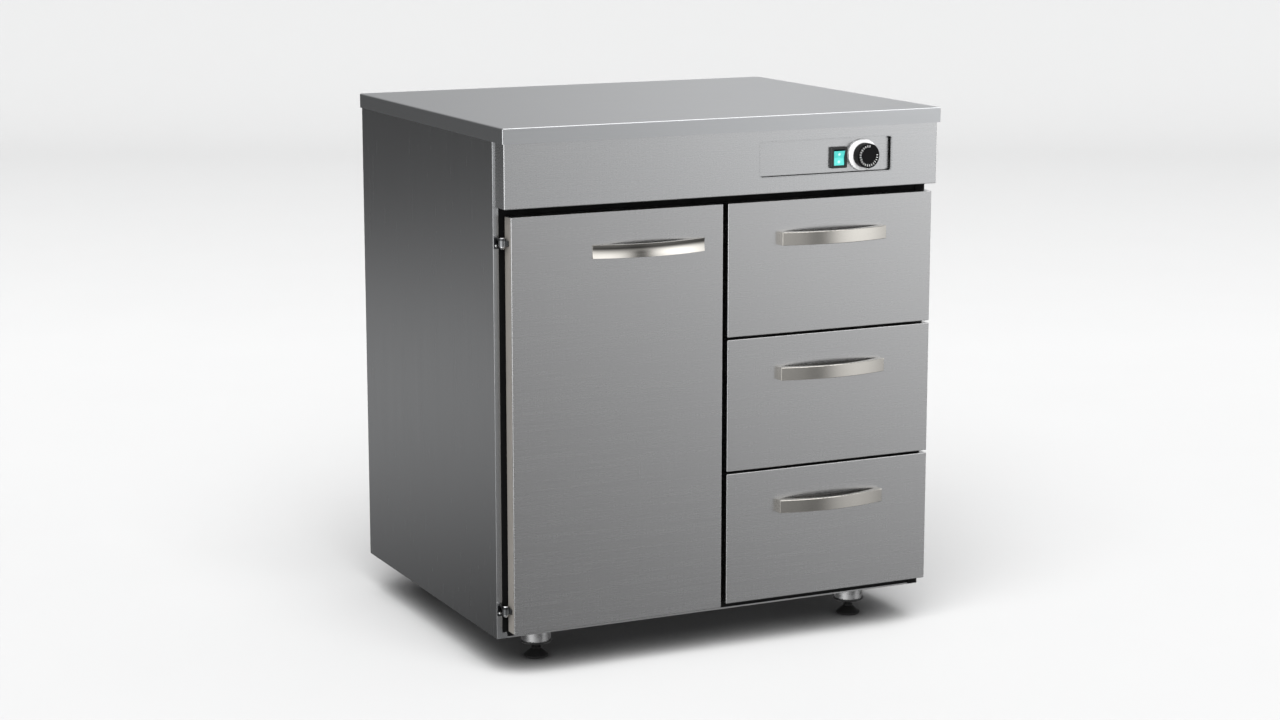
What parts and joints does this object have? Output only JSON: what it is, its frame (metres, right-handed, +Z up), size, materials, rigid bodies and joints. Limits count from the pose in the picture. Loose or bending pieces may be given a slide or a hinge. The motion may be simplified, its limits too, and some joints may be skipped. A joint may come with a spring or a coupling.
{
  "type": "uv sterilizer cabinet",
  "caption": "Stainless salon cabinet with a germicidal lamp compartment behind a hinged door, a column of drawers and a timer and switch in a recessed fascia panel.",
  "frame": {"origin": "on the floor, under the middle of the outline", "axes": "+Z up, -Y towards the person in front of the cabinet, +X to the right seen from the front"},
  "size_m": [0.8, 0.6656, 0.9],
  "materials": {
    "worktop_steel": "satin, fine grain along the front edge",
    "side_steel": "brushed, vertical grain",
    "casing_steel": "brushed",
    "fascia_steel": "brushed, horizontal grain",
    "front_steel": "brushed, horizontal grain with a faint cross grain",
    "inner_steel": "brushed",
    "control_steel": "satin",
    "core_board": "raw board",
    "black_frame": "matt powder coat",
    "black_rubber": "matt",
    "black_plastic": "fine texture",
    "lit_rocker": "translucent green, lit from inside",
    "dial_white": "satin",
    "knob_black": "satin, white scale marks",
    "shaft_steel": "ground",
    "ballast_white": "plain",
    "lead_insulation": "satin",
    "lamp_glass": "clear quartz",
    "lamp_metal": "bright",
    "holder_white": "plain",
    "reflector_aluminium": "polished",
    "shelf_wire": "bright",
    "shelf_rail": "brushed",
    "catch_plastic": "plain",
    "magnet_steel": "nickel plated",
    "hinge_chrome": "polished",
    "handle_nickel": "satin nickel",
    "runner_zinc": "bright zinc",
    "socket_steel": "plated"
  },
  "bodies": {
    "root": {"worktop": "worktop_steel", "worktop_core": "core_board", "left_side_panel": "side_steel", "right_side_panel": "side_steel", "side_liners": "inner_steel", "base_panel": "casing_steel", "back_panel": "casing_steel", "centre_partition": "inner_steel", "service_bay_floor": "casing_steel", "front_frame": "black_frame", "fascia": "fascia_steel", "control_panel": "control_steel", "switch_housing": "black_plastic", "dial_ring": "dial_white", "timer_body": "black_plastic", "mains_inlet": "black_plastic", "ballast": "ballast_white", "wiring_harness": "lead_insulation", "uv_lamp_tube": "lamp_glass", "uv_lamp_caps": "lamp_metal", "uv_lamp_holders": "holder_white", "lamp_reflector": "reflector_aluminium", "wire_shelves": "shelf_wire", "shelf_supports": "shelf_rail", "door_catch": "catch_plastic", "interlock_sensor": "catch_plastic", "hinge_frame_leaves": "hinge_chrome", "hinge_pins": "hinge_chrome", "hinge_screws": "hinge_chrome", "runner_cabinet_members": "runner_zinc", "foot_sockets": "socket_steel", "foot_bushes": "black_plastic"},
    "door": {"door_skin": "front_steel", "door_liner": "inner_steel", "door_gasket": "black_rubber", "door_magnets": "magnet_steel", "door_handle": "handle_nickel", "hinge_door_leaves": "hinge_chrome"},
    "rocker": {"switch_rocker": "lit_rocker"},
    "knob": {"timer_knob": "knob_black", "timer_shaft": "shaft_steel"},
    "top_drawer": {"top_drawer_front": "front_steel", "top_drawer_box": "inner_steel", "top_drawer_handle": "handle_nickel", "top_drawer_runner_members": "runner_zinc"},
    "top_runner_middle": {"top_runner_middle_members": "runner_zinc"},
    "middle_drawer": {"middle_drawer_front": "front_steel", "middle_drawer_box": "inner_steel", "middle_drawer_handle": "handle_nickel", "middle_drawer_runner_members": "runner_zinc"},
    "middle_runner_middle": {"middle_runner_middle_members": "runner_zinc"},
    "bottom_drawer": {"bottom_drawer_front": "front_steel", "bottom_drawer_box": "inner_steel", "bottom_drawer_handle": "handle_nickel", "bottom_drawer_runner_members": "runner_zinc"},
    "bottom_runner_middle": {"bottom_runner_middle_members": "runner_zinc"},
    "front_left_foot": {"front_left_foot_pad": "black_plastic"},
    "front_right_foot": {"front_right_foot_pad": "black_plastic"},
    "back_left_foot": {"back_left_foot_pad": "black_plastic"},
    "back_right_foot": {"back_right_foot_pad": "black_plastic"}
  },
  "joints": [
    {"name": "door_hinge", "type": "hinge", "parent": "root", "child": "door", "pos_m": [-0.388, -0.2902, 0.414], "axis": [0, 0, -1], "range_deg": [0, 120]},
    {"name": "power_rocker", "type": "hinge", "parent": "root", "child": "rocker", "pos_m": [0.209, -0.3072, 0.8236], "axis": [-1, 0, 0], "range_deg": [0, 14]},
    {"name": "timer_turn", "type": "hinge", "parent": "root", "child": "knob", "pos_m": [0.2557, -0.3102, 0.8257], "axis": [0, 1, 0], "range_deg": [0, 300]},
    {"name": "top_drawer_slide", "type": "slide", "parent": "root", "child": "top_drawer", "axis": [0, -1, 0], "range_m": [0, 0.5]},
    {"name": "top_runner_middle_slide", "type": "slide", "parent": "root", "child": "top_runner_middle", "axis": [0, -1, 0], "range_m": [0, 0.25]},
    {"name": "middle_drawer_slide", "type": "slide", "parent": "root", "child": "middle_drawer", "axis": [0, -1, 0], "range_m": [0, 0.5]},
    {"name": "middle_runner_middle_slide", "type": "slide", "parent": "root", "child": "middle_runner_middle", "axis": [0, -1, 0], "range_m": [0, 0.25]},
    {"name": "bottom_drawer_slide", "type": "slide", "parent": "root", "child": "bottom_drawer", "axis": [0, -1, 0], "range_m": [0, 0.5]},
    {"name": "bottom_runner_middle_slide", "type": "slide", "parent": "root", "child": "bottom_runner_middle", "axis": [0, -1, 0], "range_m": [0, 0.25]},
    {"name": "front_left_foot_level", "type": "slide", "parent": "root", "child": "front_left_foot", "axis": [0, 0, -1], "range_m": [-0.006, 0.015]},
    {"name": "front_right_foot_level", "type": "slide", "parent": "root", "child": "front_right_foot", "axis": [0, 0, -1], "range_m": [-0.006, 0.015]},
    {"name": "back_left_foot_level", "type": "slide", "parent": "root", "child": "back_left_foot", "axis": [0, 0, -1], "range_m": [-0.006, 0.015]},
    {"name": "back_right_foot_level", "type": "slide", "parent": "root", "child": "back_right_foot", "axis": [0, 0, -1], "range_m": [-0.006, 0.015]}
  ],
  "couplings": [
    {"joint": "top_runner_middle_slide", "follows": "top_drawer_slide", "ratio": 0.5},
    {"joint": "middle_runner_middle_slide", "follows": "middle_drawer_slide", "ratio": 0.5},
    {"joint": "bottom_runner_middle_slide", "follows": "bottom_drawer_slide", "ratio": 0.5}
  ]
}
